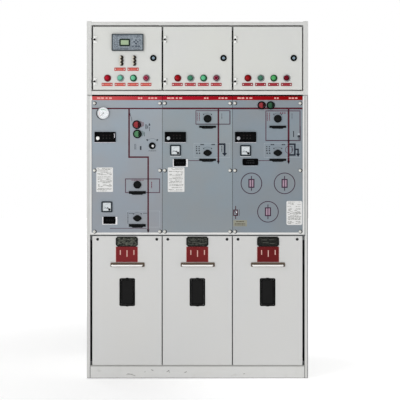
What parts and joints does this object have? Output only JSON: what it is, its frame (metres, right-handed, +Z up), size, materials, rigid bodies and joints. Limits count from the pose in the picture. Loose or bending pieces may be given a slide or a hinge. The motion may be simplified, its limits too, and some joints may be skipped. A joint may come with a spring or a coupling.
{
  "type": "ring main unit",
  "caption": "Free-standing medium-voltage ring main unit with switch bays, cable compartments behind lift-off covers, and a control box with hinged doors on top.",
  "frame": {"origin": "on the floor, at the centre of the four floor bolt holes in the base runners", "axes": "+Z up; the front with the operating panels faces -Y; +X is to the right when facing the front"},
  "size_m": [1.025, 0.799, 1.654],
  "materials": {
    "base_steel": "satin",
    "galvanised": "satin",
    "cabinet_paint": "fine texture powder coat",
    "cover_paint": "fine texture powder coat",
    "door_paint": "fine texture powder coat",
    "plate_grey": "satin print",
    "red_film": "satin print",
    "screw_metal": "bright",
    "black_plastic": "satin",
    "slate_plastic": "satin",
    "socket_metal": "satin",
    "slide_metal": "satin",
    "white_paint": "gloss",
    "window_smoke": "smoked",
    "red_plate": "satin",
    "relay_case": "satin",
    "hinge_white": "satin",
    "lamp_lens": "clear lens"
  },
  "bodies": {
    "root": {"base_runners": "base_steel", "base_crossbars": "base_steel", "floor_plate": "galvanised", "plinth_panel": "cover_paint", "left_side_panel": "cabinet_paint", "right_side_panel": "cabinet_paint", "rear_panel": "cabinet_paint", "roof_panel": "cabinet_paint", "bay_dividers": "galvanised", "cover_rails": "galvanised", "front_panel_1": "cabinet_paint", "front_panel_2": "cabinet_paint", "front_panel_3": "cabinet_paint", "mimic_plates": "plate_grey", "red_strips": "red_film", "panel_screws": "screw_metal", "pressure_gauge": "black_plastic", "voltage_indicators": "black_plastic", "panel_meters": "slate_plastic", "ready_indicators": "black_plastic", "switch_sockets": "socket_metal", "earthing_sockets": "socket_metal", "padlock_slides": "slide_metal", "mechanical_buttons": "black_plastic", "key_selector": "black_plastic", "cable_cover_1": "cover_paint", "cable_cover_2": "cover_paint", "cable_cover_3": "cover_paint", "cover_handles": "white_paint", "viewing_windows": "window_smoke", "lock_plates": "slate_plastic", "red_plates": "red_plate", "cover_screws": "socket_metal", "box_left_side": "cabinet_paint", "box_right_side": "cabinet_paint", "box_roof": "cabinet_paint", "box_floor": "cabinet_paint", "box_back": "cabinet_paint", "box_sill": "cabinet_paint", "box_head_rail": "cabinet_paint", "box_mullions": "galvanised", "mounting_plate": "galvanised", "terminal_rails": "galvanised", "hinge_arms": "base_steel"},
    "box_door_1": {"door_1": "door_paint", "door_hinges_1": "hinge_white", "door_pilots_1": "lamp_lens", "door_lock_1": "black_plastic", "relay": "relay_case", "trip_links": "slate_plastic"},
    "box_door_2": {"door_2": "door_paint", "door_hinges_2": "hinge_white", "door_pilots_2": "lamp_lens", "door_lock_2": "black_plastic"},
    "box_door_3": {"door_3": "door_paint", "door_hinges_3": "hinge_white", "door_pilots_3": "lamp_lens", "door_lock_3": "black_plastic"}
  },
  "joints": [
    {"name": "door_1_hinge", "type": "hinge", "parent": "root", "child": "box_door_1", "pos_m": [-0.473, -0.3865, 1.4825], "axis": [0, 0, -1], "range_deg": [0, 90]},
    {"name": "door_2_hinge", "type": "hinge", "parent": "root", "child": "box_door_2", "pos_m": [-0.148, -0.3865, 1.4825], "axis": [0, 0, -1], "range_deg": [0, 90]},
    {"name": "door_3_hinge", "type": "hinge", "parent": "root", "child": "box_door_3", "pos_m": [0.177, -0.3865, 1.4825], "axis": [0, 0, -1], "range_deg": [0, 90]}
  ]
}
